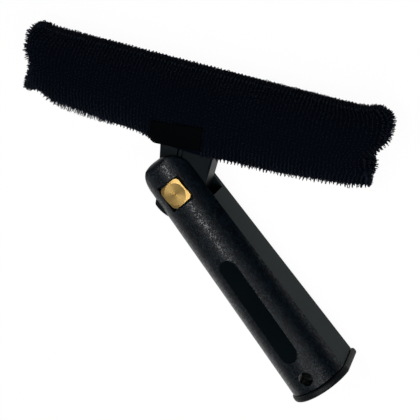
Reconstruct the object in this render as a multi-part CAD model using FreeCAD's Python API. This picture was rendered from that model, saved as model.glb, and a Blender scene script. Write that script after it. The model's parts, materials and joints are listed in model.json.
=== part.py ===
import FreeCAD, Part
import math
import os

# Window scrubber: a swivelling T-bar washer with a pile sleeve, lying on its back.
# The origin is on the pole socket's axis, where its flared mouth meets the straight bore.
# +Y runs up the handle to the swivel, and +Z is the swivel axis, out of the handle's front.
# Sizes are in millimetres.

V = FreeCAD.Vector

# Handle
pivot_y = 154.0
head_reach = 24.3
foot_half_width = 20.7
pivot_half_width = 17.1
foot_crest = 21.8
pivot_crest = 15.4
foot_back = -21.6
pivot_back = -17.7
seam_z = 6.7
front_overhang = 0.3
wall = 2.8
back_corner = 1.6
head_corner = 16.0
head_rounding = 7.0
trim_room = 0.15
shell_fit = 0.15
web = 5.0

# Fork and swivel
slot_depth = 19.5
shoulder_drop = 15.0
hub_radius = 20.9
hub_room = 0.5
cheek_gap = 0.55
disc_thickness = 1.0
disc_radius = 13.9
disc_room = 0.4
rub_gap = 0.05
running_fit = 0.05
swivel_angle = 48.0

# Swivel nut, tension screw and washers
nut_side = 16.0
nut_room = 1.2
nut_floor = 2.2
nut_height = 6.0
nut_corner = 3.2
nut_bevel = 20.0
nut_rim = 0.6
nut_dimple = 0.7
nut_turn = 6.0
barrel_radius = 5.0
barrel_seat = 1.5
screw_radius = 3.0
screw_reach = 18.0
screw_head_radius = 6.0
screw_head_height = 3.0
screw_key = 4.0
screw_key_depth = 1.8
washer_radius = 6.5
washer_thickness = 0.8
washer_height = 1.4
pass_room = 0.3
bush_wall = 3.0

# Pole socket
flange_thickness = 4.6
flange_lip = 1.7
flange_round = 1.8
flange_corner = 4.0
groove_width = 0.6
groove_inset = 1.2
spigot_length = 16.0
bore_radius = 12.75
bore_depth = 72.0
bore_wall = 1.75
mouth_flare = 2.2
mouth_length = 5.0
lock_hole_radius = 4.75
lock_hole_y = 8.6

# Badge plate on the crest of the handle
badge_y = 61.5
badge_length = 79.0
badge_width = 12.5
badge_recess = 1.6
badge_thickness = 0.9
badge_room = 0.1

# Screws that close the handle
shell_screw_ys = (88.0, 118.0)
boss_radius = 4.2
shell_screw_radius = 1.5
shell_screw_head = 3.0
shell_screw_bite = 9.0

# Neck and bar
neck_half_width = 15.3
neck_flare = 0.105
neck_round = 1.2
tail_corner = 2.5
neck_bump_lateral = -3.9
bump_width = 1.8
bump_slot = 1.0
bump_depth = 4.0
bump_start = 21.0
bump_end = 33.0
bar_reach = 57.0
bar_half_height = 12.0
bar_half_depth = 7.5
bar_wall = 1.6
bar_fit = 0.05
collar_half_length = 21.0
collar_wall = 3.0
cap_flange = 3.0
cap_plug = 10.0
cap_wall = 2.0
bar_screw_lateral = 12.0
bar_screw_radius = 1.5
bar_screw_head = 3.0
bar_screw_length = 8.0

# Pile sleeve and what is sewn to it
sleeve_sag = 3.0
sleeve_half_height = 29.4
sleeve_half_length = 121.0
sleeve_half_depth = 20.7
sleeve_roundness = 2.4
sleeve_slope = 0.018
sleeve_end_rise = 12.0
sleeve_lowest = 18.0
sleeve_seam = 5.0
sleeve_end_pad = 14.0
sleeve_room = 0.4
sleeve_stations = (0.0, 0.35, 0.68, 0.88, 0.945, 0.98, 1.0)
sleeve_turns = (0, 45, 135, 180, 225, 315, 360)
tag_width = 33.0
tag_lateral = -3.5
tag_height = 18.5
tag_clear = 5.2
tag_gap = 0.3
tag_thickness = 0.8
strip_start = 23.0
strip_length = 24.0
strip_clear = 3.0
strip_width = 10.0
strip_thickness = 1.0
strip_gap = 0.1

# Levels through the fork, from the front cheek to the back cheek
slot_back = seam_z - slot_depth
hub_front = seam_z - cheek_gap
hub_back = slot_back + cheek_gap
rub_front = seam_z - disc_thickness - rub_gap
rub_back = slot_back + disc_thickness + rub_gap
head_z = (hub_front + hub_back) / 2
nut_seat = seam_z + nut_floor
nut_face = nut_seat + nut_height
barrel_end = slot_back - barrel_seat
washer_seat = pivot_back
screw_seat = washer_seat - washer_height - rub_gap
foot_y = -mouth_length
flange_end = foot_y + flange_thickness
body_start = flange_end + groove_width
head_top = pivot_y + head_reach
rest_z = foot_back - flange_lip

# Places along the head, measured from the swivel axis
bar_half_length = sleeve_half_length - sleeve_end_pad - cap_flange
sleeve_reach = bar_reach - sleeve_sag
tag_bottom = head_reach + tag_clear
strip_bottom = bar_reach - bar_half_height - strip_clear - strip_width
reach = 400.0


def seg(a, b):
    return Part.LineSegment(a, b).toShape()


def arc(a, m, b):
    return Part.Arc(a, m, b).toShape()


def along(y, at_foot, at_pivot):
    return at_foot + (at_pivot - at_foot) * (y - foot_y) / (pivot_y - foot_y)


def half_width(y):
    return along(y, foot_half_width, pivot_half_width)


def crest(y):
    return along(y, foot_crest, pivot_crest)


def back(y):
    return along(y, foot_back, pivot_back)


def rod(x, y, z0, z1, radius):
    return Part.makeCylinder(radius, z1 - z0, V(x, y, z0), V(0, 0, 1))


def ring(x, y, z0, z1, inner, outer):
    return rod(x, y, z0, z1, outer).cut(rod(x, y, z0, z1, inner))


def block(x0, x1, y0, y1, z0, z1):
    return Part.makeBox(x1 - x0, y1 - y0, z1 - z0, V(x0, y0, z0))


def front_edges(y, inset):
    half = half_width(y) + front_overhang - inset
    top = V(0, y, crest(y) - inset)
    return V(-half, y, seam_z), top, V(half, y, seam_z)


def rear_edges(y, half, inset):
    floor = back(y) + inset
    corner = max(back_corner - inset, back_corner / 4)
    turn = corner * (1 - math.sqrt(0.5))
    return [
        seg(V(half, y, seam_z), V(half, y, floor + corner)),
        arc(V(half, y, floor + corner), V(half - turn, y, floor + turn), V(half - corner, y, floor)),
        seg(V(half - corner, y, floor), V(corner - half, y, floor)),
        arc(V(corner - half, y, floor), V(turn - half, y, floor + turn), V(-half, y, floor + corner)),
        seg(V(-half, y, floor + corner), V(-half, y, seam_z)),
    ]


def front_section(y, inset):
    left, top, right = front_edges(y, inset)
    return Part.Wire([arc(left, top, right), seg(right, left)])


def rear_section(y, inset):
    half = half_width(y) - inset
    return Part.Wire(rear_edges(y, half, inset) + [seg(V(-half, y, seam_z), V(half, y, seam_z))])


def flat_section(y, inset):
    # What lies under a flat plane that follows the crest.
    half = half_width(y)
    top = crest(y) - inset
    corners = [V(-half, y, seam_z), V(half, y, seam_z), V(half, y, top), V(-half, y, top)]
    return Part.makePolygon(corners + corners[:1])


def whole_section(y, inset):
    left, top, right = front_edges(y, inset + front_overhang)
    return Part.Wire([arc(left, top, right)] + rear_edges(y, right.x, inset))


def tapered(section, inset, start, end):
    return Part.makeLoft([section(start, inset), section(end, inset)], True, True)


def plan_prism(top, corner):
    # The handle's rounded head seen from the front, run through the whole depth.
    half = half_width(top - corner) + front_overhang + trim_room
    low = half_width(foot_y) + front_overhang + wall
    turn = corner * (1 - math.sqrt(0.5))
    wire = Part.Wire([
        seg(V(-low, foot_y, foot_back), V(-half, top - corner, foot_back)),
        arc(V(-half, top - corner, foot_back), V(turn - half, top - turn, foot_back),
            V(corner - half, top, foot_back)),
        seg(V(corner - half, top, foot_back), V(half - corner, top, foot_back)),
        arc(V(half - corner, top, foot_back), V(half - turn, top - turn, foot_back),
            V(half, top - corner, foot_back)),
        seg(V(half, top - corner, foot_back), V(low, foot_y, foot_back)),
        seg(V(low, foot_y, foot_back), V(-low, foot_y, foot_back)),
    ])
    return Part.Face(wire).extrude(V(0, 0, foot_crest - foot_back))


def brow_prism():
    # Side view of the front shell, with its crest rolling over into the top end.
    side = foot_half_width + wall
    start = head_top - head_rounding
    turn = head_rounding * (1 - math.sqrt(0.5))
    high = crest(start) + trim_room
    wire = Part.Wire([
        seg(V(-side, foot_y, seam_z), V(-side, head_top, seam_z)),
        seg(V(-side, head_top, seam_z), V(-side, head_top, high - head_rounding)),
        arc(V(-side, head_top, high - head_rounding), V(-side, head_top - turn, high - turn),
            V(-side, start, high)),
        seg(V(-side, start, high), V(-side, foot_y, foot_crest + wall)),
        seg(V(-side, foot_y, foot_crest + wall), V(-side, foot_y, seam_z)),
    ])
    return Part.Face(wire).extrude(V(2 * side, 0, 0))


def racetrack_prism(room):
    half = badge_width / 2 - room
    run = badge_length / 2 - badge_width / 2
    low, high = badge_y - run, badge_y + run
    wire = Part.Wire([
        seg(V(half, low, seam_z), V(half, high, seam_z)),
        arc(V(half, high, seam_z), V(0, high + half, seam_z), V(-half, high, seam_z)),
        seg(V(-half, high, seam_z), V(-half, low, seam_z)),
        arc(V(-half, low, seam_z), V(0, low - half, seam_z), V(half, low, seam_z)),
    ])
    return Part.Face(wire).extrude(V(0, 0, foot_crest - seam_z + wall))


def lock_hole():
    return rod(0, lock_hole_y, foot_back - wall, foot_crest + wall, lock_hole_radius)


def edges_where(shape, test):
    return [e for e in shape.Edges if test(e)]


def front_grip_shell():
    cavity_end = pivot_y - hub_radius - hub_room - web
    shell = tapered(front_section, 0, body_start, head_top)
    shell = shell.common(plan_prism(head_top, head_corner)).common(brow_prism())
    shell = shell.cut(tapered(front_section, wall, foot_y, cavity_end))
    for y in shell_screw_ys:
        boss = rod(0, y, seam_z, crest(y) - wall / 2, boss_radius)
        shell = shell.fuse(boss).cut(rod(0, y, seam_z, seam_z + shell_screw_bite, shell_screw_radius))
    window = nut_side / 2 + nut_room
    shell = shell.cut(block(-window, window, pivot_y - window, pivot_y + window, nut_seat, foot_crest))
    shell = shell.cut(rod(0, pivot_y, seam_z, nut_seat, barrel_radius + running_fit))
    recess = racetrack_prism(0).cut(tapered(flat_section, badge_recess, foot_y, head_top))
    return shell.cut(recess).cut(lock_hole()).removeSplitter()


def rear_body_shell():
    hollow_end = pivot_y - hub_radius - hub_room - web
    body = tapered(rear_section, 0, body_start, head_top)
    body = body.common(plan_prism(head_top, head_corner))
    body = body.cut(tapered(rear_section, wall, foot_y, hollow_end))
    side = foot_half_width + wall
    body = body.cut(block(-side, side, pivot_y - shoulder_drop, reach, slot_back, seam_z))
    body = body.cut(rod(0, pivot_y, slot_back, seam_z, hub_radius + hub_room))
    for y in shell_screw_ys:
        body = body.fuse(rod(0, y, back(y) + wall / 2, seam_z, boss_radius))
        body = body.cut(rod(0, y, foot_back, seam_z, shell_screw_radius + running_fit))
        body = body.cut(rod(0, y, foot_back, back(y) + wall, shell_screw_head + pass_room))
    body = body.cut(rod(0, pivot_y, barrel_end - rub_gap, slot_back, barrel_radius + running_fit))
    body = body.cut(rod(0, pivot_y, foot_back, slot_back, screw_radius + pass_room))
    body = body.cut(rod(0, pivot_y, foot_back, pivot_back, washer_radius + pass_room))
    return body.cut(lock_hole()).removeSplitter()


def shell_screws():
    screws = []
    for y in shell_screw_ys:
        seat = back(y) + wall
        tip = seam_z + shell_screw_bite - pass_room
        screw = rod(0, y, seat, tip, shell_screw_radius)
        head = rod(0, y, seat - shell_screw_head / 2, seat, shell_screw_head)
        screws.append(head.fuse(screw).removeSplitter())
    return Part.makeCompound(screws)


def pole_socket():
    flange = tapered(whole_section, -flange_lip, foot_y, flange_end)
    on_seam = edges_where(flange, lambda e: e.BoundBox.YLength > 1 and abs(e.CenterOfMass.z - seam_z) < 0.1)
    flange = flange.makeFillet(flange_corner, on_seam)
    flange = flange.makeFillet(flange_round, edges_where(flange, lambda e: e.BoundBox.YLength < 0.01))
    spigot_end = body_start + spigot_length
    solid = flange.fuse(tapered(whole_section, groove_inset, flange_end, body_start))
    solid = solid.fuse(tapered(whole_section, wall + shell_fit, body_start, spigot_end))
    tube = Part.makeCylinder(bore_radius + bore_wall, bore_depth + bore_wall, V(0, 0, 0), V(0, 1, 0))
    solid = solid.fuse(tube)
    solid = solid.cut(Part.makeCylinder(bore_radius, bore_depth, V(0, 0, 0), V(0, 1, 0)))
    flare = Part.makeCone(bore_radius + mouth_flare, bore_radius, mouth_length, V(0, foot_y, 0), V(0, 1, 0))
    return solid.cut(flare).cut(lock_hole()).removeSplitter()


def badge_plate():
    top = badge_recess - badge_thickness - rub_gap
    plate = racetrack_prism(badge_room).common(tapered(flat_section, top, foot_y, head_top))
    return plate.cut(tapered(flat_section, badge_recess - rub_gap, foot_y, head_top))


def swivel_nut():
    half = nut_side / 2
    corner = half * math.sqrt(2)
    land = half - nut_rim
    drop = (corner - land) * math.tan(math.radians(nut_bevel))
    head = block(-half, half, pivot_y - half, pivot_y + half, nut_seat, nut_face)
    head = head.makeFillet(nut_corner, edges_where(head, lambda e: e.BoundBox.ZLength > nut_height / 2))
    turned = rod(0, pivot_y, nut_seat, nut_face - drop, corner)
    bevel = Part.makeCone(corner, land, drop, V(0, pivot_y, nut_face - drop), V(0, 0, 1))
    head = head.common(turned.fuse(bevel))
    head = head.cut(Part.makeSphere(nut_dimple, V(0, pivot_y, nut_face)))
    head.rotate(V(0, pivot_y, 0), V(0, 0, 1), nut_turn)
    barrel = rod(0, pivot_y, barrel_end, nut_seat, barrel_radius)
    thread_top = screw_seat + screw_reach + pass_room
    nut = head.fuse(barrel).cut(rod(0, pivot_y, barrel_end, thread_top, screw_radius + running_fit))
    return nut.removeSplitter()


def friction_disc(z0):
    return ring(0, pivot_y, z0, z0 + disc_thickness, barrel_radius + pass_room, disc_radius)


def spring_washer():
    inner = screw_radius + pass_room
    low = washer_seat - washer_height
    wire = Part.makePolygon([
        V(washer_radius, pivot_y, washer_seat),
        V(washer_radius, pivot_y, washer_seat - washer_thickness),
        V(inner, pivot_y, low),
        V(inner, pivot_y, low + washer_thickness),
        V(washer_radius, pivot_y, washer_seat),
    ])
    return Part.Face(wire).revolve(V(0, pivot_y, 0), V(0, 0, 1), 360)


def tension_screw():
    low = screw_seat - screw_head_height
    head = rod(0, pivot_y, low, screw_seat, screw_head_radius)
    rim = edges_where(head, lambda e: e.BoundBox.ZMax < low + rub_gap)
    head = head.makeChamfer(screw_head_height / 6, rim)
    screw = head.fuse(rod(0, pivot_y, screw_seat, screw_seat + screw_reach, screw_radius))
    corner = screw_key / math.sqrt(3)
    ends = [math.radians(60 * i) for i in range(7)]
    key = Part.makePolygon([V(corner * math.cos(a), pivot_y + corner * math.sin(a), low) for a in ends])
    return screw.cut(Part.Face(key).extrude(V(0, 0, screw_key_depth))).removeSplitter()


def turned_to_rest(shape):
    # The head is modelled straight above the handle and then swivelled to its resting angle.
    shape.rotate(V(0, pivot_y, 0), V(0, 0, 1), -swivel_angle)
    return shape


def neck_profile(end, room):
    low = neck_half_width + room
    high = neck_half_width + neck_flare * end + room
    start = pivot_y
    wire = Part.makePolygon([
        V(-low, start, 0), V(low, start, 0), V(high, start + end, 0), V(-high, start + end, 0),
        V(-low, start, 0),
    ])
    return Part.Face(wire)


def neck_stem(end, room):
    stem = neck_profile(end, room).extrude(V(0, 0, hub_front - hub_back + 2 * room))
    stem.translate(V(0, 0, hub_back - room))
    return stem


def tongue():
    # The neck's lower end in the fork: flat sides and a round tail about the swivel axis.
    half = neck_half_width
    low = pivot_y - math.sqrt(hub_radius ** 2 - half ** 2)
    high = pivot_y + half / 4
    wire = Part.Wire([
        arc(V(-half, low, hub_back), V(0, pivot_y - hub_radius, hub_back), V(half, low, hub_back)),
        seg(V(half, low, hub_back), V(half, high, hub_back)),
        seg(V(half, high, hub_back), V(-half, high, hub_back)),
        seg(V(-half, high, hub_back), V(-half, low, hub_back)),
    ])
    solid = Part.Face(wire).extrude(V(0, 0, hub_front - hub_back))
    upright = edges_where(solid, lambda e: e.BoundBox.ZLength > neck_round and e.CenterOfMass.y < pivot_y)
    solid = solid.makeFillet(tail_corner, upright)
    rims = edges_where(solid, lambda e: e.BoundBox.ZLength < neck_round and e.BoundBox.YMin < pivot_y)
    return solid.makeFillet(neck_round, rims)


def bar_prism(half_length, grow):
    # A flat-oval section across the neck, run from one end of the bar to the other.
    y0 = pivot_y + bar_reach
    radius = bar_half_depth + grow
    run = bar_half_height - bar_half_depth
    x0 = -half_length
    wire = Part.Wire([
        seg(V(x0, y0 - run, head_z + radius), V(x0, y0 + run, head_z + radius)),
        arc(V(x0, y0 + run, head_z + radius), V(x0, y0 + run + radius, head_z),
            V(x0, y0 + run, head_z - radius)),
        seg(V(x0, y0 + run, head_z - radius), V(x0, y0 - run, head_z - radius)),
        arc(V(x0, y0 - run, head_z - radius), V(x0, y0 - run - radius, head_z),
            V(x0, y0 - run, head_z + radius)),
    ])
    return Part.Face(wire).extrude(V(2 * half_length, 0, 0))


def bar_screw_places():
    return [(side * bar_screw_lateral, pivot_y + bar_reach) for side in (-1, 1)]


def swivel_neck():
    stem_end = bar_reach - bar_half_height
    stem = neck_stem(stem_end, 0)
    long_edges = edges_where(stem, lambda e: e.BoundBox.YLength > stem_end - 1)
    stem = stem.makeFillet(neck_round, long_edges)
    neck = tongue().fuse(stem).fuse(bar_prism(collar_half_length, collar_wall))
    neck = neck.cut(bar_prism(bar_half_length, bar_fit))
    recess = disc_radius + disc_room
    neck = neck.cut(rod(0, pivot_y, rub_front, hub_front, recess))
    neck = neck.cut(rod(0, pivot_y, hub_back, rub_back, recess))
    neck = neck.cut(rod(0, pivot_y, hub_back, hub_front, barrel_radius + running_fit + bush_wall))
    for side in (-1, 1):
        middle = neck_bump_lateral + side * (bump_width + bump_slot) / 2
        slot = block(middle - bump_slot / 2, middle + bump_slot / 2, pivot_y + bump_start, pivot_y + bump_end,
                     hub_front - bump_depth, hub_front)
        neck = neck.cut(slot)
    for x, y in bar_screw_places():
        neck = neck.cut(rod(x, y, slot_back - wall, head_z, bar_screw_radius + running_fit))
    return turned_to_rest(neck.removeSplitter())


def pivot_bush():
    bore = barrel_radius + running_fit
    return turned_to_rest(ring(0, pivot_y, rub_back, rub_front, bore, bore + bush_wall))


def bar_tube():
    tube = bar_prism(bar_half_length, 0).cut(bar_prism(bar_half_length, -bar_wall))
    for x, y in bar_screw_places():
        tube = tube.cut(rod(x, y, head_z - bar_half_depth - wall, head_z, bar_screw_radius + running_fit))
    return turned_to_rest(tube)


def bar_screws():
    seat = head_z - bar_half_depth - collar_wall
    screws = []
    for x, y in bar_screw_places():
        shank = rod(x, y, seat, seat + bar_screw_length, bar_screw_radius)
        head = rod(x, y, seat - bar_screw_head / 2, seat, bar_screw_head)
        screws.append(head.fuse(shank).removeSplitter())
    return turned_to_rest(Part.makeCompound(screws))


def bar_cap(side):
    end = bar_half_length + cap_flange
    cap = bar_prism(end, 0).cut(bar_prism(bar_half_length, 0))
    plug = bar_prism(bar_half_length, -bar_wall - bar_fit)
    plug = plug.cut(bar_prism(bar_half_length, -bar_wall - cap_wall))
    inner = bar_half_length - cap_plug
    plug = plug.cut(block(-inner, inner, 0, reach, -reach, reach))
    y0 = pivot_y + bar_reach
    half = block(min(0, side * reach), max(0, side * reach), 0, 2 * y0, -reach, reach)
    return turned_to_rest(cap.fuse(plug).common(half).removeSplitter())


def rounded(value):
    return math.copysign(abs(value) ** (2 / sleeve_roundness), value)


def sleeve_section(station, grow):
    # One ring of arcs round the sleeve, thin at the end seams; the lower edge rises towards both ends.
    x = station * sleeve_half_length
    top = sleeve_reach + sleeve_half_height - sleeve_slope * x + grow
    rise = ((x - sleeve_lowest) / (sleeve_half_length + sleeve_lowest)) ** 2
    low = sleeve_reach - sleeve_half_height + sleeve_end_rise * rise - grow
    inward = min(1.0, (sleeve_half_length - abs(x)) / sleeve_end_pad)
    depth = sleeve_seam + (sleeve_half_depth - sleeve_seam) * math.sqrt(inward * (2 - inward)) + grow

    def at(degrees):
        up, out = math.cos(math.radians(degrees)), math.sin(math.radians(degrees))
        return V(x, pivot_y + (top + low) / 2 + rounded(up) * (top - low) / 2, head_z + rounded(out) * depth)

    ends = zip(sleeve_turns, sleeve_turns[1:])
    return Part.Wire([arc(at(a), at((a + b) / 2), at(b)) for a, b in ends])


def sleeve_form(grow):
    stations = [-s for s in reversed(sleeve_stations[1:])] + list(sleeve_stations)
    return Part.makeLoft([sleeve_section(s, grow) for s in stations], True, False)


def strip_block(side, z0, z1, room):
    start, end = strip_start - room, strip_start + strip_length + room
    x0, x1 = (start, end) if side > 0 else (-end, -start)
    y0 = pivot_y + strip_bottom
    return block(x0, x1, y0 - room, y0 + strip_width + room, z0, z1)


def pile_sleeve():
    # The back is pressed flat on the surface that the flange rests on too.
    sleeve = sleeve_form(0).cut(block(-reach, reach, 0, reach, -reach, rest_z))
    room = sleeve_room
    sleeve = sleeve.cut(neck_stem(bar_reach, room))
    sleeve = sleeve.cut(bar_prism(collar_half_length + room, collar_wall + room))
    sleeve = sleeve.cut(bar_prism(bar_half_length + cap_flange + room, room))
    for x, y in bar_screw_places():
        low = head_z - bar_half_depth - collar_wall - bar_screw_head / 2
        sleeve = sleeve.cut(rod(x, y, low - room, head_z, bar_screw_head + room))
    pocket = strip_thickness + strip_gap + tag_gap
    for side in (-1, 1):
        sleeve = sleeve.cut(strip_block(side, head_z - pocket, head_z + pocket, tag_gap))
    return turned_to_rest(sleeve.removeSplitter())


def sleeve_tag():
    half = tag_width / 2
    tape = block(tag_lateral - half, tag_lateral + half, pivot_y + tag_bottom,
                 pivot_y + tag_bottom + tag_height, head_z, reach)
    tag = sleeve_form(tag_gap + tag_thickness).common(tape).cut(sleeve_form(tag_gap))
    return turned_to_rest(tag)


def closing_strips(face):
    near = head_z + face * strip_gap / 2
    far = near + face * strip_thickness
    strips = [strip_block(side, min(near, far), max(near, far), 0) for side in (-1, 1)]
    return turned_to_rest(Part.makeCompound(strips))


nodes = {
    "front_grip_shell": front_grip_shell(),
    "rear_body_shell": rear_body_shell(),
    "shell_screws": shell_screws(),
    "pole_socket": pole_socket(),
    "badge_plate": badge_plate(),
    "swivel_nut": swivel_nut(),
    "front_friction_disc": friction_disc(seam_z - disc_thickness),
    "rear_friction_disc": friction_disc(slot_back),
    "spring_washer": spring_washer(),
    "tension_screw": tension_screw(),
    "swivel_neck": swivel_neck(),
    "pivot_bush": pivot_bush(),
    "bar_tube": bar_tube(),
    "bar_cap_left": bar_cap(-1),
    "bar_cap_right": bar_cap(1),
    "bar_screws": bar_screws(),
    "pile_sleeve": pile_sleeve(),
    "sleeve_tag": sleeve_tag(),
    "hook_strips": closing_strips(-1),
    "loop_strips": closing_strips(1),
}

os.makedirs("parts", exist_ok=True)
for name, shape in nodes.items():
    print(name, "solids", len(shape.Solids), "volume", round(shape.Volume), "valid", shape.isValid())
    shape.exportStep("parts/" + name + ".step")
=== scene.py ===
import bpy, bmesh, json, math
from mathutils import Matrix, Vector

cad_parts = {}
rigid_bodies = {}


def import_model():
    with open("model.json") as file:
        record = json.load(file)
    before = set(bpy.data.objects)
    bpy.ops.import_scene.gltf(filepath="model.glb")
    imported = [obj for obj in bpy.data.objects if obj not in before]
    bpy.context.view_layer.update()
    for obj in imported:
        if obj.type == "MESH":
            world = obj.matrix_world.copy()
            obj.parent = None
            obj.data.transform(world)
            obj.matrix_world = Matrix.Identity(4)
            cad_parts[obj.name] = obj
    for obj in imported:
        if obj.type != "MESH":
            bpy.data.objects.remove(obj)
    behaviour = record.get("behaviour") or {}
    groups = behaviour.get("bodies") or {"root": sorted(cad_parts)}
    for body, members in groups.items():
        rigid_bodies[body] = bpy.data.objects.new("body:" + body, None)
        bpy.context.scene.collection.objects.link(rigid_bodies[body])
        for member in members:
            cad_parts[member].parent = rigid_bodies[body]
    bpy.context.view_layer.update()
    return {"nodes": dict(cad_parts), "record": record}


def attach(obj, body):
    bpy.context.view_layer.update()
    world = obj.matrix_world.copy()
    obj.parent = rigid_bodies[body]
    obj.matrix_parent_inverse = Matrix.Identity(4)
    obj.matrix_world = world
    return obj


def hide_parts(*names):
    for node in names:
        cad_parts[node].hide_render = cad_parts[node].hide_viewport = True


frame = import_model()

mm = 0.001
scene = bpy.context.scene
scene.view_settings.view_transform = "Standard"

# The head's own directions at rest: along the bar, and up the neck from the swivel axis.
swivel = {"pivot": (0.0, 154.0), "restAngle": 48.0, "middleZ": -3.05, "floorZ": -23.3}
turnSin, turnCos = math.sin(math.radians(swivel["restAngle"])), math.cos(math.radians(swivel["restAngle"]))


def headPoint(along, up, z):
    x = along * turnCos + up * turnSin
    y = up * turnCos - along * turnSin
    return Vector(((swivel["pivot"][0] + x) * mm, (swivel["pivot"][1] + y) * mm, z * mm))


def headPlace(point):
    x, y = point.x / mm - swivel["pivot"][0], point.y / mm - swivel["pivot"][1]
    return x * turnCos - y * turnSin, x * turnSin + y * turnCos, point.z / mm


def bump(value, centre, width):
    return math.exp(-((value - centre) / width) ** 2)


def lobe(value, centre, width):
    return math.exp(-((value - centre) / width) ** 4)


def smooth(value, low, high):
    t = min(1.0, max(0.0, (value - low) / (high - low)))
    return t * t * (3 - 2 * t)


def mix(a, b, t):
    return a + (b - a) * t


def swells(value, wanted, shape=bump):
    return sum(height * shape(value, centre, width) for height, centre, width in wanted)


# Camera
view = {"aim": (0.0062, 0.1319, 0.0), "azimuth": 99.6, "elevation": 64.1, "roll": 225.2,
        "distance": 0.6613, "focalPixels": 1017.0, "framePixels": 420.0, "sensor": 36.0,
        "clip": (0.01, 20.0)}


def makeCamera():
    a, e, roll = (math.radians(view[k]) for k in ("azimuth", "elevation", "roll"))
    back = Vector((math.sin(a) * math.cos(e), -math.cos(a) * math.cos(e), math.sin(e)))
    side = Vector((math.cos(a), math.sin(a), 0))
    rise = back.cross(side)
    right = side * math.cos(roll) + rise * math.sin(roll)
    up = back.cross(right)
    data = bpy.data.cameras.new("photoCamera")
    data.sensor_width = view["sensor"]
    data.lens = view["sensor"] * view["focalPixels"] / view["framePixels"]
    data.clip_start, data.clip_end = view["clip"]
    camera = bpy.data.objects.new("photoCamera", data)
    scene.collection.objects.link(camera)
    camera.matrix_world = Matrix((right, up, back)).transposed().to_4x4()
    camera.location = Vector(view["aim"]) + back * view["distance"]
    scene.camera = camera


makeCamera()
print("camera placed")


# Shader sockets that take part in plain arithmetic
class Flow:
    def __init__(self, finish, socket):
        self.finish, self.socket = finish, socket

    def maths(self, operation, first, second):
        return self.finish.node("ShaderNodeMath", {"operation": operation}, {0: first, 1: second})

    def __add__(self, other):
        return self.maths("ADD", self, other)

    __radd__ = __add__

    def __sub__(self, other):
        return self.maths("SUBTRACT", self, other)

    def __rsub__(self, other):
        return self.maths("SUBTRACT", other, self)

    def __mul__(self, other):
        return self.maths("MULTIPLY", self, other)

    __rmul__ = __mul__

    def __pow__(self, other):
        return self.maths("POWER", self, other)


class Finish:
    def __init__(self, name, **fixed):
        self.material = bpy.data.materials.new(name)
        self.material.use_nodes = True
        self.tree = self.material.node_tree
        self.shader = self.tree.nodes["Principled BSDF"]
        for socket, value in fixed.items():
            self.shader.inputs[socket.replace("_", " ")].default_value = value

    def node(self, kind, settings, sockets, out=0):
        made = self.tree.nodes.new(kind)
        for key, value in settings.items():
            setattr(made, key, value)
        for key, value in sockets.items():
            if isinstance(value, Flow):
                self.tree.links.new(value.socket, made.inputs[key])
            else:
                made.inputs[key].default_value = value
        return Flow(self, made.outputs[out])

    def feed(self, socket, flow):
        self.tree.links.new(flow.socket, self.shader.inputs[socket])

    def coordinates(self, turn=0.0, place=(0, 0, 0)):
        found = self.node("ShaderNodeTexCoord", {}, {}, out=3)
        return self.node("ShaderNodeMapping", {"vector_type": "TEXTURE"},
                         {"Vector": found, "Location": place, "Rotation": (0, 0, turn)})

    def noise(self, where, scale, detail=2.0, rough=0.5):
        return self.node("ShaderNodeTexNoise", {},
                         {"Vector": where, "Scale": scale, "Detail": detail, "Roughness": rough})

    def cells(self, where, scale, feature="F1", out=0):
        return self.node("ShaderNodeTexVoronoi", {"feature": feature},
                         {"Vector": where, "Scale": scale}, out)

    def axes(self, where):
        x = self.node("ShaderNodeSeparateXYZ", {}, {0: where})
        return x, Flow(self, x.socket.node.outputs[1])

    def blend(self, factor, dark, light):
        return self.node("ShaderNodeMix", {"data_type": "RGBA"},
                         {0: factor, 6: (*dark, 1), 7: (*light, 1)}, out=2)

    def relief(self, height, strength, depth):
        self.feed("Normal", self.node("ShaderNodeBump", {},
                                      {"Strength": strength, "Distance": depth, "Height": height}))


# Grained mouldings: pebbles, some with a coat and a painted glint (a paler base colour); facets, tilts and
# dust are shares of their scale
grainShape = {"coatRough": 0.22, "facets": 1.2, "glinting": 0.64, "steep": 3.5, "tilts": 0.9, "dust": 2.6,
              "broad": 60.0}


def grainedPlastic(name, grain):
    f = Finish(name, Specular_IOR_Level=grain["gloss"], Coat_Roughness=grainShape["coatRough"])
    where = f.coordinates()
    facet = f.cells(where, grain["scale"] * grainShape["facets"], out=1)
    coatAndPaintedGlint = facet.maths("GREATER_THAN", facet, grainShape["glinting"])  # these grains get a coat and a paler base colour, which is a painted glint of grain tops catching the light
    f.feed("Coat Weight", coatAndPaintedGlint * grain["sparkle"])
    toEdge = f.cells(where, grain["scale"], "DISTANCE_TO_EDGE")
    pebbles = toEdge.maths("SMOOTH_MIN", toEdge * grainShape["steep"], 1.0)  # flat tops, valleys between
    tilt = f.noise(where, grain["scale"] * grainShape["tilts"], 1.0)
    dust = f.noise(where, grain["scale"] * grainShape["dust"])
    broad = f.noise(where, grainShape["broad"], 3.0)
    # base colour: the pale cells are painted glints, the broad clouds are random tone
    f.feed("Base Color", f.blend(coatAndPaintedGlint * 0.8 + broad * 0.2, grain["dark"], grain["light"]))
    f.feed("Roughness", grain["rough"] + 0.16 * (dust - 0.5) + 0.08 * (broad - 0.5))
    f.relief(pebbles * 0.5 + tilt * grain["tilt"] + dust * 0.15, grain["strength"], grain["depth"])
    return f.material


# Smooth mouldings: a fine spark on the skin and broad, faint clouds
skinShape = {"fine": 3200.0, "broad": 45.0, "depth": 0.00003}


def smoothPlastic(name, skin):
    f = Finish(name, Specular_IOR_Level=skin["gloss"])
    where = f.coordinates()
    spark = f.noise(where, skinShape["fine"])
    broad = f.noise(where, skinShape["broad"], 3.0)
    f.feed("Base Color", f.blend(broad, skin["dark"], skin["light"]))
    f.feed("Roughness", skin["rough"] + 0.10 * (broad - 0.5) + 0.06 * (spark - 0.5))
    f.relief(spark * 0.6 + broad * 0.4, skin["strength"], skinShape["depth"])
    return f.material


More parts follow.
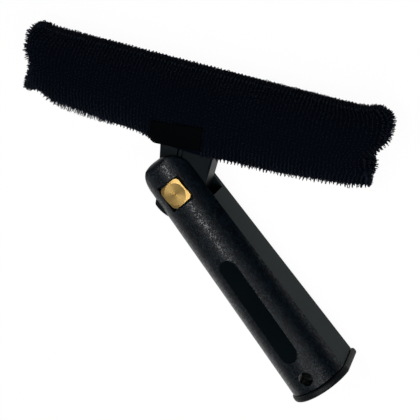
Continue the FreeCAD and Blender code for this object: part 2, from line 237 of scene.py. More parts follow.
def turnedBrass(name, brass):
    f = Finish(name, Metallic=1.0, Anisotropic=brass["brushed"])
    where = f.coordinates(place=(swivel["pivot"][0] * mm, swivel["pivot"][1] * mm, 0))
    x, y = f.axes(where)
    radius = (x * x + y * y) ** 0.5
    ring = f.node("ShaderNodeTexNoise", {"noise_dimensions": "1D"},
                  {"W": radius, "Scale": brass["ringScale"], "Detail": 3.0})
    stain = f.noise(where, brass["stainScale"], 4.0)
    onFace = radius.maths("LESS_THAN", radius, brass["faceRadius"])  # the bevel round it is plain
    f.feed("Base Color", f.blend(stain * 0.4 + ring * 0.6, brass["dark"], brass["light"]))
    rough = brass["bevelRough"] - (brass["bevelRough"] - brass["rough"]) * onFace
    f.feed("Roughness", rough + 0.12 * (ring - 0.5) * onFace)
    f.relief(ring * onFace, brass["strength"], brass["depth"])
    return f.material


# Plain metal pieces: a fine brushed grain
metalShape = {"fine": 1500.0, "broad": 120.0, "strength": 0.2, "depth": 0.00003}


def brushedMetal(name, metal):
    f = Finish(name, Metallic=1.0)
    where = f.coordinates()
    grain = f.noise(where, metalShape["fine"], 3.0)
    broad = f.noise(where, metalShape["broad"])
    f.feed("Base Color", f.blend(broad, metal["dark"], metal["light"]))
    f.feed("Roughness", metal["rough"] + 0.2 * (grain - 0.5))
    f.relief(grain, metalShape["strength"], metalShape["depth"])
    return f.material


# Sleeve fibres: specks from strand to strand, and broad, faint clouds
fibreShape = {"speck": 700.0, "broad": 55.0}


def pileFibre(name, fibre):
    f = Finish(name, Specular_IOR_Level=fibre["gloss"])
    where = f.coordinates()
    speck = f.noise(where, fibreShape["speck"])
    broad = f.noise(where, fibreShape["broad"], 3.0)
    f.feed("Base Color", f.blend(speck * 0.6 + broad * 0.4, fibre["dark"], fibre["light"]))
    f.feed("Roughness", fibre["rough"] + 0.2 * (speck - 0.5))
    return f.material


def wovenTape(name, tape):
    f = Finish(name, Specular_IOR_Level=tape["gloss"])
    where = f.coordinates(turn=math.radians(-swivel["restAngle"]))
    warp, weft = (f.node("ShaderNodeMath", {"operation": "SINE"}, {0: axis * tape["threads"]})
                  for axis in f.axes(where))
    weave = warp * weft * 0.5 + 0.5
    lint = f.noise(where, tape["lintScale"], 3.0)
    f.feed("Base Color", f.blend(weave * 0.5 + lint * 0.5, tape["dark"], tape["light"]))
    f.feed("Roughness", tape["rough"] + 0.2 * (lint - 0.5))
    f.relief(weave, tape["strength"], tape["depth"])
    return f.material


finishes = {
    "grained_plastic": grainedPlastic("grainedGrip", {
        "scale": 1250.0, "dark": (0.0001, 0.0004, 0.0010), "light": (0.0012, 0.0056, 0.0100), "rough": 0.33,
        "gloss": 0.12, "sparkle": 0.36, "tilt": 0.9, "strength": 1.0, "depth": 0.00008}),
    "socket_plastic": grainedPlastic("grainedFlange", {
        "scale": 1100.0, "dark": (0.0014, 0.0024, 0.0030), "light": (0.0028, 0.0040, 0.0046), "rough": 0.45,
        "gloss": 0.10, "sparkle": 0.0, "tilt": 0.6, "strength": 0.6, "depth": 0.00012}),
    "smooth_plastic": smoothPlastic("satinBody", {
        "dark": (0.0070, 0.0140, 0.0146), "light": (0.0090, 0.0172, 0.0180), "rough": 0.60, "gloss": 0.08,
        "strength": 0.25}),
    "neck_plastic": smoothPlastic("neckPlastic", {
        "dark": (0.0020, 0.0034, 0.0044), "light": (0.0034, 0.0052, 0.0064), "rough": 0.38, "gloss": 0.045,
        "strength": 0.18}),
    "gloss_badge": smoothPlastic("badgeGloss", {
        "dark": (0.0004, 0.0014, 0.0020), "light": (0.0008, 0.0022, 0.0030), "rough": 0.16, "gloss": 0.07,
        "strength": 0.06}),
    "bush_plastic": smoothPlastic("bushPlastic", {
        "dark": (0.42, 0.40, 0.36), "light": (0.50, 0.48, 0.43), "rough": 0.45, "gloss": 0.4,
        "strength": 0.2}),
    "friction_rubber": smoothPlastic("frictionRubber", {
        "dark": (0.012, 0.012, 0.012), "light": (0.020, 0.020, 0.020), "rough": 0.75, "gloss": 0.3,
        "strength": 0.5}),
    "brass": turnedBrass("turnedBrass", {
        "dark": (0.40, 0.25, 0.078), "light": (0.53, 0.360, 0.126), "rough": 0.31, "bevelRough": 0.465,
        "brushed": 0.55, "ringScale": 1700.0, "stainScale": 160.0, "faceRadius": 0.0073, "strength": 0.26,
        "depth": 0.00012}),
    "black_steel": brushedMetal("blackSteel", {
        "dark": (0.030, 0.030, 0.032), "light": (0.050, 0.050, 0.054), "rough": 0.42}),
    "screw_steel": brushedMetal("screwSteel", {
        "dark": (0.36, 0.36, 0.37), "light": (0.48, 0.48, 0.49), "rough": 0.35}),
    "bar_aluminium": brushedMetal("barAluminium", {
        "dark": (0.55, 0.56, 0.57), "light": (0.66, 0.67, 0.68), "rough": 0.38}),
    "pile": pileFibre("pileFibre", {
        "dark": (0.0006, 0.0014, 0.0034), "light": (0.0092, 0.0128, 0.0215), "rough": 0.80, "gloss": 0.04}),
    # the backing is darker than the tufts: painted shade in the gaps between them
    "pileGround": pileFibre("pileGround", {
        "dark": (0.0004, 0.0009, 0.0020), "light": (0.0010, 0.0020, 0.0042), "rough": 0.90, "gloss": 0.01}),
    "tape": wovenTape("wovenTape", {
        "dark": (0.0002, 0.0003, 0.0005), "light": (0.0006, 0.0009, 0.0012), "rough": 0.62, "gloss": 0.01,
        "threads": 9000.0, "lintScale": 900.0, "strength": 0.5, "depth": 0.0001}),
}
print("finishes made:", len(finishes))


def plainMesh(piece, name):
    graph = bpy.context.evaluated_depsgraph_get()
    mesh = bpy.data.meshes.new_from_object(piece.evaluated_get(graph))
    mesh.name = name
    return mesh


# Geometry Nodes trees with named inputs, turned into plain meshes at once
class Tree:
    def __init__(self, name, **inputs):
        self.tree = bpy.data.node_groups.new(name, "GeometryNodeTree")
        self.ids = {}
        for key, kind in inputs.items():
            socket = self.tree.interface.new_socket(key, in_out="INPUT", socket_type="NodeSocket" + kind)
            self.ids[key] = socket.identifier
        self.tree.interface.new_socket("Geometry", in_out="OUTPUT", socket_type="NodeSocketGeometry")
        self.given = self.tree.nodes.new("NodeGroupInput").outputs

    def node(self, kind, settings, sockets, out=None):
        made = self.tree.nodes.new(kind)
        for key, value in settings.items():
            setattr(made, key, value)
        for key, value in sockets.items():
            socket = made.inputs[key] if isinstance(key, int) else \
                next(i for i in made.inputs if i.enabled and i.name == key)
            if isinstance(value, bpy.types.NodeSocket):
                self.tree.links.new(value, socket)
            else:
                socket.default_value = value
        return next((o for o in made.outputs if o.enabled and out in (None, o.name)), None)

    def maths(self, operation, first, second):
        return self.node("ShaderNodeMath", {"operation": operation}, {0: first, 1: second})

    def finish(self, instances):
        real = self.node("GeometryNodeRealizeInstances", {}, {0: instances})
        coated = self.node("GeometryNodeSetMaterial", {},
                           {"Geometry": real, "Material": self.given["Finish"]})
        self.node("NodeGroupOutput", {}, {0: coated})

    def apply(self, piece, **values):
        grown = piece.modifiers.new("grown", "NODES")
        grown.node_group = self.tree
        for key, value in values.items():
            grown[self.ids[key]] = value
        bpy.context.view_layer.update()
        mesh = plainMesh(piece, piece.name)
        piece.modifiers.remove(grown)
        piece.data = mesh


# Rigid pieces: the solids themselves, with their edges broken as a mould or a cutter leaves them.
# For each node: its piece, its finish and the radius of its broken edges in mm.
rigid = {
    "front_grip_shell": ("gripFront", "grained_plastic", 0.45),
    "rear_body_shell": ("bodyRear", "smooth_plastic", 0.40),
    "pole_socket": ("poleSocket", "socket_plastic", 0.0),
    "badge_plate": ("badgePlate", "gloss_badge", 0.35),
    "swivel_nut": ("swivelNut", "brass", 0.15),
    "swivel_neck": ("swivelNeck", "neck_plastic", 0.0),
    "tension_screw": ("tensionScrew", "black_steel", 0.12),
    "spring_washer": ("springWasher", "screw_steel", 0.08),
    "front_friction_disc": ("frictionDiscFront", "friction_rubber", 0.0),
    "rear_friction_disc": ("frictionDiscRear", "friction_rubber", 0.0),
    "pivot_bush": ("pivotBush", "bush_plastic", 0.0),
    "bar_tube": ("barTube", "bar_aluminium", 0.0),
    "bar_cap_left": ("barCapLeft", "neck_plastic", 0.0),
    "bar_cap_right": ("barCapRight", "neck_plastic", 0.0),
    "shell_screws": ("shellScrews", "screw_steel", 0.10),
    "bar_screws": ("barScrews", "screw_steel", 0.0),
    "hook_strips": ("hookStrips", "tape", 0.0),
    "loop_strips": ("loopStrips", "tape", 0.0),
}
edge = {"angle": math.radians(32), "shallow": {"swivel_nut": math.radians(14)}, "merge": 0.002,
        "flat": math.radians(0.5), "segments": 2}


def link(name, mesh, finish):
    mesh.materials.clear()
    mesh.materials.append(finish)
    piece = bpy.data.objects.new(name, mesh)
    scene.collection.objects.link(piece)
    return piece


def brokenEdges(node, radius):
    angle = edge["shallow"].get(node, edge["angle"])  # the nut's bevel is shallow
    shape = bmesh.new()
    shape.from_mesh(frame["nodes"][node].data)
    bmesh.ops.remove_doubles(shape, verts=shape.verts, dist=edge["merge"] * mm)
    bmesh.ops.dissolve_limit(shape, angle_limit=edge["flat"], verts=shape.verts, edges=shape.edges)
    if radius:
        corners = [e for e in shape.edges if len(e.link_faces) == 2 and e.calc_face_angle(0) > angle]
        bmesh.ops.bevel(shape, geom=corners, offset=radius * mm, segments=edge["segments"], profile=0.5,
                        affect="EDGES", clamp_overlap=True)
    for face in shape.faces:
        face.smooth = True
    mesh = bpy.data.meshes.new(node)
    shape.to_mesh(mesh)
    shape.free()
    mesh.set_sharp_from_angle(angle=angle)
    return mesh


def flattened(piece):
    even = piece.modifiers.new("flatFaces", "WEIGHTED_NORMAL")  # large faces stay flat beside rounded edges
    even.mode, even.weight, even.keep_sharp = "FACE_AREA", 100, True
    mesh = plainMesh(piece, piece.name)
    piece.modifiers.remove(even)
    piece.data = mesh


# Cross drives, cut into the heads of the shell screws
drive = {"across": 3.0, "slot": 0.8, "depth": 1.1, "faceReach": 0.05}


def crossCutter():
    a, s, d = drive["across"] / 2 * mm, drive["slot"] / 2 * mm, drive["depth"] * mm
    arm = [(s, s), (s, a), (-s, a)]
    quarters = ((1, 0), (0, 1), (-1, 0), (0, -1))
    outline = [(x * c - y * k, x * k + y * c) for c, k in quarters for x, y in arm]
    shape = bmesh.new()
    low, high = ([shape.verts.new((x, y, z)) for x, y in outline] for z in (-d, d))
    shape.faces.new(low[::-1])
    shape.faces.new(high)
    for k in range(len(low)):
        n = (k + 1) % len(low)
        shape.faces.new((low[k], low[n], high[n], high[k]))
    mesh = bpy.data.meshes.new("crossCutter")
    shape.to_mesh(mesh)
    shape.free()
    return bpy.data.objects.new("crossCutter", mesh)


def driveTree():
    t = Tree("crossDrives", Geometry="Geometry", Heads="Object", Cutter="Object", Finish="Material")
    heads, cutter = (t.node("GeometryNodeObjectInfo", {}, {"Object": t.given[key], "As Instance": instance},
                            out="Geometry") for key, instance in (("Heads", False), ("Cutter", True)))
    cutters = t.node("GeometryNodeInstanceOnPoints", {}, {"Points": heads, "Instance": cutter})
    solid = t.node("GeometryNodeRealizeInstances", {}, {0: cutters})
    t.finish(t.node("GeometryNodeMeshBoolean", {"operation": "DIFFERENCE"},
                    {"Mesh 1": t.given["Geometry"], "Mesh 2": solid}))
    return t


def cutDrives(screws, finish):
    points = [v.co for v in screws.data.vertices]
    middle = (min(p.y for p in points) + max(p.y for p in points)) / 2
    centres = []
    for upper in (False, True):
        own = [p for p in points if (p.y > middle) == upper]
        inner = min(p.z for p in own) + drive["faceReach"] * mm
        face = [p for p in own if p.z < inner]
        centres.append(sum(face, Vector()) / len(face))
    marks = bpy.data.meshes.new("driveMarks")
    marks.from_pydata(centres, [], [])
    heads, cutter = bpy.data.objects.new("driveMarks", marks), crossCutter()
    driveTree().apply(screws, Heads=heads, Cutter=cutter, Finish=finish)
    screws.data.set_sharp_from_angle(angle=edge["angle"])
    bpy.data.objects.remove(heads)
    bpy.data.objects.remove(cutter)


bodyOf = {node: body for body, members in frame["record"]["behaviour"]["bodies"].items() for node in members}
for node, (name, slot, radius) in rigid.items():
    piece = link(name, brokenEdges(node, radius), finishes[slot])
    if node == "shell_screws":
        cutDrives(piece, finishes[slot])
    flattened(piece)
    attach(piece, bodyOf[node])
    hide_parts(node)
print("rigid pieces dressed:", len(rigid))


# Pile sleeve: a sewn backing, swelled by its filling, with rows of tufts on it
sleeve = {"stations": 50, "ring": 57, "halfDepth": 18.3, "roundness": 2.4, "pile": 1.7, "topPile": 1.3,
          "top": 82.1, "topSlope": -0.0145, "bottom": 24.7, "endRise": 12.8, "lowest": 35.0,
          "leftRun": 159.0, "rightRun": 111.5, "seamDepth": 3.2, "endPad": 15.0, "endMiddle": -0.1,
          "endRun": 45.0, "topRound": 5.0, "topPower": 12, "leftReach": 118.0, "rightReach": 116.4,
          "slitHalf": 19.0, "slitLip": 9.6, "slitArc": 20.0, "slitEase": (1.0, 16.0), "slitHold": 3.0,
          "slitTop": 40.0, "neckSide": 1.5, "neckTop": 30.0, "neckRoom": 0.4,
          "pressure": 3.0, "mostSwell": 2.0, "clothQuality": 6, "clothFrames": 20}
# Soft forms along the edges: height, centre and width, along the bar in mm or up the end from -1 to 1
form = {"ears": [(2.2, -116, 9), (4.0, 118, 11)],
        "tucks": [(1.3, -32, 18), (1.3, -62, 30), (4.2, -108, 8), (1.0, 23, 8), (0.7, 78, 30)],
        "leftLobes": [(4.4, 0.42, 0.45)], "leftCorners": [(3.0, -0.95, 0.35)],
        "rightLobes": [(7.6, 0.46, 0.52)], "rightCorners": [(3.4, -0.52, 0.16), (2.2, -0.95, 0.25)]}


def topEdge(l):
    return sleeve["top"] + sleeve["topSlope"] * l + swells(l, form["ears"]) - sleeve["topPile"]


def bottomEdge(l):
    run = sleeve["leftRun"] if l < sleeve["lowest"] else sleeve["rightRun"]
    rise = sleeve["endRise"] * ((l - sleeve["lowest"]) / run) ** 2
    return sleeve["bottom"] + rise + swells(l, form["tucks"]) + sleeve["pile"]


def endReach(side, p):
    soft = swells(p, form[side + "Lobes"], lobe) + swells(p, form[side + "Corners"])
    shoulder = sleeve["topRound"] * max(0, p) ** sleeve["topPower"]
    return sleeve[side + "Reach"] + soft - shoulder - sleeve["pile"]


def leftEnd(p):
    return -endReach("left", p)


def rightEnd(p):
    return endReach("right", p)


def ringShape(turn, spread):
    # turn 0 is the top edge, a quarter the front, a half the lower edge, which spread opens for the neck
    a = 2 * math.pi * turn
    power = 2 / sleeve["roundness"]
    side = 1 if a <= math.pi else -1
    rise, out = math.cos(a), abs(math.sin(a))
    p = math.copysign(abs(rise) ** power, rise)
    depth = out ** power
    if rise < 0 and spread > 0:
        lip = sleeve["slitLip"] / sleeve["halfDepth"]
        below = math.degrees(math.acos(min(1.0, -rise)))
        if below < sleeve["slitArc"]:
            openP, openDepth = -1.0, lip * below / sleeve["slitArc"]
        else:
            t = math.radians((below - sleeve["slitArc"]) / (90 - sleeve["slitArc"]) * 90)
            openP, openDepth = -abs(math.cos(t)) ** power, lip + (1 - lip) * math.sin(t) ** power
        p, depth = mix(p, openP, spread), mix(depth, openDepth, spread)
    return p, side * depth


def columnPlace(s, p):
    # the columns of pile run straight round the sleeve and bend only near the drawn-in ends
    first, last = leftEnd(sleeve["endMiddle"]), rightEnd(sleeve["endMiddle"])
    l = mix(first, last, s)
    atLeft = 1 - smooth(l, first, first + sleeve["endRun"])
    atRight = smooth(l, last - sleeve["endRun"], last)
    return l + (leftEnd(p) - first) * atLeft + (rightEnd(p) - last) * atRight


def backingGrid():
    n, m = sleeve["stations"], sleeve["ring"]
    verts, faces = [], []
    for i in range(n + 1):
        s = i / n
        for j in range(m):
            flat = ringShape(j / m, 0)[0]
            l = columnPlace(s, flat)
            spread = 1 - smooth(abs(l), *(sleeve["slitHalf"] + ease for ease in sleeve["slitEase"]))
            p, side = ringShape(j / m, spread)
            fromEnd = min(l - leftEnd(p), rightEnd(p) - l)
            swell = math.sqrt(max(0.0, 1 - (1 - min(1.0, fromEnd / sleeve["endPad"])) ** 2))
            depth = mix(sleeve["seamDepth"], sleeve["halfDepth"], swell)
            r = mix(bottomEdge(l), topEdge(l), (p + 1) / 2)
            z = swivel["middleZ"] + side * depth
            verts.append(headPoint(l, r, z))
    below = m * sleeve["slitArc"] / 360
    for i in range(n):
        for j in range(m):
            ring = [(i, j), (i + 1, j), (i + 1, (j + 1) % m), (i, (j + 1) % m)]
            l = sum(headPlace(verts[a * m + b])[0] for a, b in ring) / 4
            inSlit = abs(l) < sleeve["slitHalf"] and abs(j + 0.5 - m / 2) < below
            if not inSlit:
                faces.append([a * m + b for a, b in ring])
    for i in (0, n):
        for j in range((m + 1) // 2):
            cap = [i * m + k for k in dict.fromkeys((j, j + 1, (m - j - 1) % m, (m - j) % m))]
            if len(cap) > 2:
                faces.append(cap if i == 0 else cap[::-1])
    held = [*range(m), *range(n * m, len(verts))]
    for k, vertex in enumerate(verts):
        l, r, z = headPlace(vertex)
        if abs(l) < sleeve["slitHalf"] + sleeve["slitHold"] and r < sleeve["slitTop"]:
            held.append(k)
    return verts, faces, held


def swelled(piece, held):
    before = [v.co.copy() for v in piece.data.vertices]
    group = piece.vertex_groups.new(name="seams")
    group.add(held, 1.0, "REPLACE")
    cloth = piece.modifiers.new("filling", "CLOTH")
    cloth.settings.vertex_group_mass = "seams"
    cloth.settings.use_pressure = True
    cloth.settings.uniform_pressure_force = sleeve["pressure"]
    cloth.settings.effector_weights.gravity = 0
    cloth.settings.quality = sleeve["clothQuality"]
    for number in range(sleeve["clothFrames"]):
        scene.frame_set(number + 1)
    graph = bpy.context.evaluated_depsgraph_get()
    after = [v.co.copy() for v in piece.evaluated_get(graph).data.vertices]
    piece.modifiers.remove(cloth)
    scene.frame_set(1)
    most = sleeve["mostSwell"] * mm
    for vertex, a, b in zip(piece.data.vertices, before, after):
        move = b - a
        vertex.co = a + (move if move.length < most else move.normalized() * most)


def makeBacking():
    verts, faces, held = backingGrid()
    mesh = bpy.data.meshes.new("sleeveCut")
    mesh.from_pydata(verts, [], faces)
    m = sleeve["ring"]
    rows = {"station": [float(k // m) for k in range(len(verts))],
            "ringCos": [math.cos(2 * math.pi * (k % m) / m) for k in range(len(verts))],
            "ringSin": [math.sin(2 * math.pi * (k % m) / m) for k in range(len(verts))]}
    for name, values in rows.items():
        mesh.attributes.new(name, "FLOAT", "POINT").data.foreach_set("value", values)
    shape = bmesh.new()
    shape.from_mesh(mesh)
    shape.verts.ensure_lookup_table()
    held = [k for k in held if shape.verts[k].link_faces]
    bmesh.ops.recalc_face_normals(shape, faces=shape.faces)
    shape.to_mesh(mesh)
    shape.free()
    cut = link("sleeveCut", mesh, finishes["pile"])
    swelled(cut, held)
    low = (swivel["floorZ"] + sleeve["pile"]) * mm
    for vertex in cut.data.vertices:
        vertex.co.z = max(vertex.co.z, low)
    cut.vertex_groups.clear()
    finer = cut.modifiers.new("finer", "SUBSURF")
    finer.levels = finer.render_levels = 1
    # the backing takes the darker finish, painted shade between the tufts
    backing = link("sleeveBacking", plainMesh(cut, "sleeveBacking"), finishes["pileGround"])
    bpy.data.objects.remove(cut)
    shape = bmesh.new()
    shape.from_mesh(backing.data)
    bmesh.ops.delete(shape, geom=[v for v in shape.verts if not v.link_faces], context="VERTS")
    for face in shape.faces:
        face.smooth = True
    shape.to_mesh(backing.data)
    shape.free()
    return backing


backing = makeBacking()
print("sleeve backing:", len(backing.data.polygons), "faces")


# Tufts: a few cut strands each, and some left as loops
tuft = {"kinds": 4, "strands": 3, "length": 2.9, "thick": 0.32, "fan": 0.05, "lean": 0.10, "uneven": 0.22,
        "seed": 11, "shortest": 0.82, "shoulder": 0.72, "taper": 0.85, "footOut": 0.5, "shoulderOut": 0.45,
        "loopSteps": 6, "loopHalf": 0.17, "loopTwist": 0.10, "loopRise": 0.9, "loopThick": 0.8}
# Where they grow: lengths and thicknesses are shares of a tuft's own, and loose is its drift in mm
growth = {"ground": 0.42, "topGround": 0.26, "topBand": 8.0, "loose": 0.55, "fringeRow": 6, "fringe": 1.20,
          "leftFringe": 0.80, "leftFade": (-30.0, 10.0), "fringeThick": 1.35, "fringeLoose": 0.15,
          "topFringe": 0.62, "topThick": 1.75, "topLoose": 0.1, "endRows": 1.2, "endFringe": 1.15,
          "endTop": 0.5, "endThick": 1.15, "endLoose": 0.3, "scatter": (7.3, 2.1, 3.0)}
# Finer hairs stand on the lower left edge
hair = {"centre": -78.0, "spread": 26.0, "from": 0.4, "length": 0.75, "thick": 0.6, "loose": 0.7}
# Woven tag, which the pile has to leave room for
tag = {"along": -5.85, "width": 34.3, "tilt": 0.108, "top": 45.9, "bottom": 30.1, "thick": 0.7, "bow": 0.8,
       "corner": 1.6, "cornerFrom": 0.8, "fold": 0.4, "lift": 1.5, "topLift": 1.2, "backGap": 1.3,
       "foot": 30.0, "wall": 0.35, "coverSide": 0.6, "coverTop": 0.8, "coverFoot": 5.0, "facesAcross": 24,
       "facesDown": 36}


def strandRing(shape, centre, radius):
    return [shape.verts.new(centre + Vector((radius * math.cos(a), radius * math.sin(a), 0)))
            for a in (0, 2 * math.pi / 3, 4 * math.pi / 3)]


def bridge(shape, low, high):
    for k in range(3):
        shape.faces.new((low[k], low[(k + 1) % 3], high[(k + 1) % 3], high[k]))


def tuftShape(kind):
    shape = bmesh.new()
    size, thick = tuft["length"] * mm, tuft["thick"] * mm
    if kind == tuft["kinds"] - 1:
        rings = []
        for step in range(tuft["loopSteps"]):
            a = math.pi * step / (tuft["loopSteps"] - 1)
            centre = size * Vector((-tuft["loopHalf"] * math.cos(a), tuft["loopTwist"] * math.sin(2 * a),
                                    tuft["loopRise"] * math.sin(a)))
            rings.append(strandRing(shape, centre, thick * tuft["loopThick"]))
        for low, high in zip(rings, rings[1:]):
            bridge(shape, low, high)
    else:
        for strand in range(tuft["strands"]):
            a = 2 * math.pi * strand / tuft["strands"] + kind
            out = Vector((math.cos(a), math.sin(a), 0))
            reach = size * mix(tuft["shortest"], 1, math.sin(5 * kind + 3 * strand))
            shoulder = Vector((0, 0, reach * tuft["shoulder"]))
            rings = [strandRing(shape, out * thick * tuft["footOut"], thick),
                     strandRing(shape, out * thick * tuft["shoulderOut"] + shoulder, thick * tuft["taper"])]
            tip = shape.verts.new(out * reach * tuft["fan"] + Vector((0, 0, reach)))
            bridge(shape, *rings)
            for k in range(3):
                shape.faces.new((rings[1][k], rings[1][(k + 1) % 3], tip))
    for face in shape.faces:
        face.smooth = True
    mesh = bpy.data.meshes.new("tuft%d" % kind)
    shape.to_mesh(mesh)
    shape.free()
    return bpy.data.objects.new("tuft%d" % kind, mesh)


def pileTree():
    t = Tree("pileOnBacking", Geometry="Geometry", Tufts="Collection", Kinds="Int", Lean="Float",
             Uneven="Float", Seed="Int", Finish="Material")
    kinds = t.node("GeometryNodeCollectionInfo", {}, {
        "Collection": t.given["Tufts"], "Separate Children": True, "Reset Children": True})
    shown = t.node("GeometryNodeInputNamedAttribute", {"data_type": "BOOLEAN"}, {"Name": "pile"})
    height, thick, loose = (t.node("GeometryNodeInputNamedAttribute", {"data_type": "FLOAT"}, {"Name": name})
                            for name in ("pileLength", "pileThick", "pileLoose"))
    pick = t.node("FunctionNodeRandomValue", {"data_type": "INT"},
                  {"Min": 0, "Max": t.maths("SUBTRACT", t.given["Kinds"], 1.0), "Seed": t.given["Seed"]})
    stand = t.node("FunctionNodeAlignRotationToVector", {"axis": "Z"},
                   {"Vector": t.node("GeometryNodeInputNormal", {}, {})})
    least = t.maths("MULTIPLY", t.given["Lean"], -1.0)
    lows = t.node("ShaderNodeCombineXYZ", {}, {0: least, 1: least, 2: 0.0})
    highs = t.node("ShaderNodeCombineXYZ", {}, {0: t.given["Lean"], 1: t.given["Lean"], 2: 2 * math.pi})
    sway = t.node("FunctionNodeRandomValue", {"data_type": "FLOAT_VECTOR"},
                  {"Min": lows, "Max": highs, "Seed": t.given["Seed"]})
    turned = t.node("FunctionNodeRotateRotation", {"rotation_space": "LOCAL"},
                    {0: stand, 1: t.node("FunctionNodeEulerToRotation", {}, {0: sway})})
    size = t.node("FunctionNodeRandomValue", {"data_type": "FLOAT"},
                  {"Min": t.maths("SUBTRACT", 1.0, t.given["Uneven"]), "Max": 1.0, "Seed": t.given["Seed"]})
    wide = t.maths("MULTIPLY", size, thick)
    scale = t.node("ShaderNodeCombineXYZ", {}, {0: wide, 1: wide, 2: t.maths("MULTIPLY", size, height)})
    placed = t.node("GeometryNodeInstanceOnPoints", {}, {
        "Points": t.given["Geometry"], "Selection": shown, "Instance": kinds, "Pick Instance": True,
        "Instance Index": pick, "Rotation": turned, "Scale": scale})
    drift = t.node("FunctionNodeRandomValue", {"data_type": "FLOAT_VECTOR"},
                   {"Min": (-mm, -mm, 0), "Max": (mm, mm, 0), "Seed": t.given["Seed"]})
    slide = t.node("ShaderNodeVectorMath", {"operation": "SCALE"}, {0: drift, "Scale": loose})
    t.finish(t.node("GeometryNodeTranslateInstances", {}, {
        "Instances": placed, "Translation": slide, "Local Space": True}))
    return t


def bareSpot(l, r, z):
    across, depth = l - tag["along"], z - swivel["middleZ"]
    up = r - tag["tilt"] * across
    covered = tag["bottom"] - tag["coverFoot"] < up < tag["top"] - tag["coverTop"]
    underTag = depth > 0 and covered and abs(across) < tag["width"] / 2 - tag["coverSide"]
    inLips = abs(depth) < sleeve["slitLip"] + sleeve["neckRoom"]
    atNeck = inLips and abs(l) < sleeve["slitHalf"] + sleeve["neckSide"] and r < sleeve["neckTop"]
    return underTag or atNeck


def tuftSize(place, station, ringCos, ringSin):
    # length, thickness and drift: short loose pile all over, longer rows on both edges and at the end seams
    l, r, z = place
    fromTop = round(abs(math.atan2(ringSin, ringCos)) / math.pi * sleeve["ring"])
    fromFoot = sleeve["ring"] - fromTop
    nearTop = smooth(r, topEdge(l) - growth["topBand"], topEdge(l))
    ground = mix(growth["ground"], growth["topGround"], nearTop)
    hairs = bump(l, hair["centre"], hair["spread"])
    if min(station, sleeve["stations"] - station) < growth["endRows"]:
        longest = mix(growth["endFringe"], growth["topFringe"], growth["endTop"] * nearTop)
        wave = sum(rate * way for rate, way in zip(growth["scatter"], (fromTop, z, station)))
        return mix(ground, longest, abs(math.sin(wave))), growth["endThick"], growth["endLoose"]
    onFringe = fromFoot % growth["fringeRow"] == 0 or hairs > hair["from"]
    if fromFoot <= growth["fringeRow"] and onFringe:
        fringe = mix(growth["leftFringe"], growth["fringe"], smooth(l, *growth["leftFade"]))
        thick = mix(growth["fringeThick"], hair["thick"], hairs)
        return fringe + hair["length"] * hairs, thick, growth["fringeLoose"] + hair["loose"] * hairs
    if fromTop in (0, growth["fringeRow"]):
        return growth["topFringe"], growth["topThick"], growth["topLoose"]
    return ground, 1.0, growth["loose"]


def makePile():
    kinds = bpy.data.collections.new("tuftKinds")
    for kind in range(tuft["kinds"]):
        kinds.objects.link(tuftShape(kind))
    tree = pileTree()
    backing.data.update()
    places = [headPlace(v.co) for v in backing.data.vertices]
    rows = [[d.value for d in backing.data.attributes[name].data]
            for name in ("station", "ringCos", "ringSin")]
    sizes = list(zip(*(tuftSize(place, *row) for place, row in zip(places, zip(*rows)))))
    panels = {"pileFrontLeft": (True, False), "pileFrontRight": (True, True), "pileBackLeft": (False, False),
              "pileBackRight": (False, True)}
    made = []
    for name, (front, right) in panels.items():
        mesh = backing.data.copy()
        shown = []
        for l, r, z in places:
            mine = (z >= swivel["middleZ"]) == front and (l >= 0) == right
            shown.append(mine and not bareSpot(l, r, z))
        mesh.attributes.new("pile", "BOOLEAN", "POINT").data.foreach_set("value", shown)
        for key, values in zip(("pileLength", "pileThick", "pileLoose"), sizes):
            mesh.attributes.new(key, "FLOAT", "POINT").data.foreach_set("value", values)
        panel = link(name, mesh, finishes["pile"])
        tree.apply(panel, Tufts=kinds, Kinds=tuft["kinds"], Lean=tuft["lean"], Uneven=tuft["uneven"],
                   Seed=tuft["seed"], Finish=finishes["pile"])
        low = swivel["floorZ"] * mm
        for vertex in panel.data.vertices:
            vertex.co.z = max(vertex.co.z, low)
        made.append(panel)
    for kind in list(kinds.objects):
        bpy.data.objects.remove(kind)
    bpy.data.collections.remove(kinds)
    return made


pilePanels = makePile()
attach(backing, "head")
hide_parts("pile_sleeve")
for panel in pilePanels:
    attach(panel, "head")
print("pile tufts:", sum(len(p.data.polygons) for p in pilePanels), "faces")


# Woven tag: a length of tape folded at its lower end, its top edge caught in the pile
def frontOfSleeve(l, r):
    p = (r - bottomEdge(l)) / (topEdge(l) - bottomEdge(l)) * 2 - 1
    rise = min(1.0, abs(p)) ** sleeve["roundness"]
    depth = (1 - rise) ** (1 / sleeve["roundness"])
    lip = sleeve["slitLip"] / sleeve["halfDepth"]
    return swivel["middleZ"] + sleeve["halfDepth"] * (lip + (1 - lip) * depth if p < 0 else depth)


def tagSurface(across, t):
    # across runs -1 to 1 over the width, t 0 to 1 from the caught top edge round the fold and up the back
    l = tag["along"] + across * tag["width"] / 2
    turned = max(0.0, -across - tag["cornerFrom"]) / (1 - tag["cornerFrom"])
    low = tag["bottom"] + tag["corner"] * turned ** 2  # the lower left corner is turned up a little
    high = tag["top"] - low
    front = 1 / (1 + tag["fold"])
    lift = tag["lift"] + tag["bow"] * (1 - across ** 2)
    askew = tag["tilt"] * (l - tag["along"])  # sewn on a little askew
    if t <= front:
        r = tag["top"] - high * t / front + askew
        off = mix(tag["topLift"], lift, t / front)
    else:
        r = low + high * tag["fold"] * (t - front) / (1 - front) + askew
        off = lift - tag["backGap"]
    return l, r, frontOfSleeve(l, max(r, tag["foot"])) + off + tag["thick"] / 2


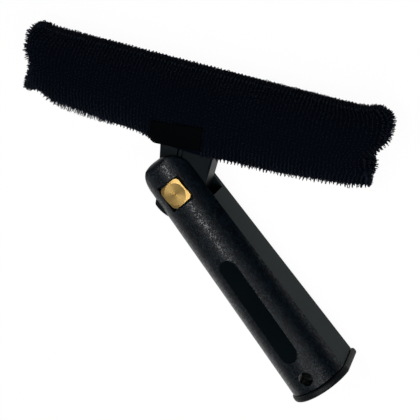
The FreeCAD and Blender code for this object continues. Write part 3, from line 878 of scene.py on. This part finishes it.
def makeTag():
    wide, long = tag["facesAcross"], tag["facesDown"]
    shape = bmesh.new()
    rows = []
    for i in range(wide + 1):
        places = [tagSurface(2 * i / wide - 1, j / long) for j in range(long + 1)]
        rows.append([shape.verts.new(headPoint(*place)) for place in places])
    for a, b in zip(rows, rows[1:]):
        for j in range(long):
            shape.faces.new((a[j], a[j + 1], b[j + 1], b[j]))
    for face in shape.faces:
        face.smooth = True
    bmesh.ops.recalc_face_normals(shape, faces=shape.faces)
    mesh = bpy.data.meshes.new("sleeveTag")
    shape.to_mesh(mesh)
    shape.free()
    tape = link("sleeveTag", mesh, finishes["tape"])
    wall = tape.modifiers.new("wall", "SOLIDIFY")
    wall.thickness, wall.offset = tag["wall"] * mm, 0.0
    solid = plainMesh(tape, "sleeveTag")
    tape.modifiers.remove(wall)
    tape.data = solid
    return tape


tagPiece = makeTag()
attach(tagPiece, "head")
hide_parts("sleeve_tag")
print("tag folded")


# Studio: a pale floor that the tool lies on, two softboxes overhead, one at the left and an even sky
studio = {"aim": (0.0, 0.1, 0.0), "sky": 0.03, "floorHalf": 8.0, "floorWhite": 0.82, "floorClouds": 0.02,
          "cloudScale": 30.0, "backgroundShare": 0.96}
softboxes = [{"place": (-0.03, 0.44, 1.0), "size": (0.26, 0.80), "brightness": 42.0, "aimed": False},
             {"place": (0.24, -0.56, 1.0), "size": (1.10, 0.56), "brightness": 20.0, "aimed": False},
             {"place": (-1.0, 0.10, 0.65), "size": (0.9, 1.4), "brightness": 1.3, "aimed": True}]


def makeStudio():
    bpy.ops.mesh.primitive_plane_add(size=2 * studio["floorHalf"], location=(0, 0, swivel["floorZ"] * mm))
    floor = bpy.context.object
    floor.name = "studioFloor"
    f = Finish("studioFloor", Roughness=0.9, Specular_IOR_Level=0.0)
    paper = f.noise(f.coordinates(), studio["cloudScale"])
    whites = [(studio["floorWhite"] + more,) * 3 for more in (0, studio["floorClouds"])]
    f.feed("Base Color", f.blend(paper, *whites))
    path = f.tree.nodes.new("ShaderNodeLightPath")
    camera, glossy, through = (Flow(f, path.outputs["Is %s Ray" % kind])
                               for kind in ("Camera", "Glossy", "Transmission"))
    seen = (camera + glossy + through) * studio["backgroundShare"]
    glow = f.node("ShaderNodeEmission", {}, {"Color": (1, 1, 1, 1), "Strength": 1.0})
    shown = f.node("ShaderNodeMixShader", {}, {0: seen, 1: Flow(f, f.shader.outputs[0]), 2: glow})
    f.tree.links.new(shown.socket, f.tree.nodes["Material Output"].inputs["Surface"])
    floor.data.materials.append(f.material)
    for number, softbox in enumerate(softboxes):
        lamp = bpy.data.lights.new("softbox%d" % number, "AREA")
        lamp.shape = "RECTANGLE"
        lamp.size, lamp.size_y = softbox["size"]
        lamp.energy = softbox["brightness"] * lamp.size * lamp.size_y  # brightness is per square metre
        box = bpy.data.objects.new(lamp.name, lamp)
        scene.collection.objects.link(box)
        box.location = softbox["place"]
        if softbox["aimed"]:
            box.rotation_euler = (Vector(studio["aim"]) - box.location).to_track_quat("-Z", "Y").to_euler()
    world = bpy.data.worlds.new("evenSky")
    scene.world = world
    world.use_nodes = True
    world.node_tree.nodes["Background"].inputs["Color"].default_value = (1, 1, 1, 1)
    world.node_tree.nodes["Background"].inputs["Strength"].default_value = studio["sky"]


makeStudio()
print("studio lit")
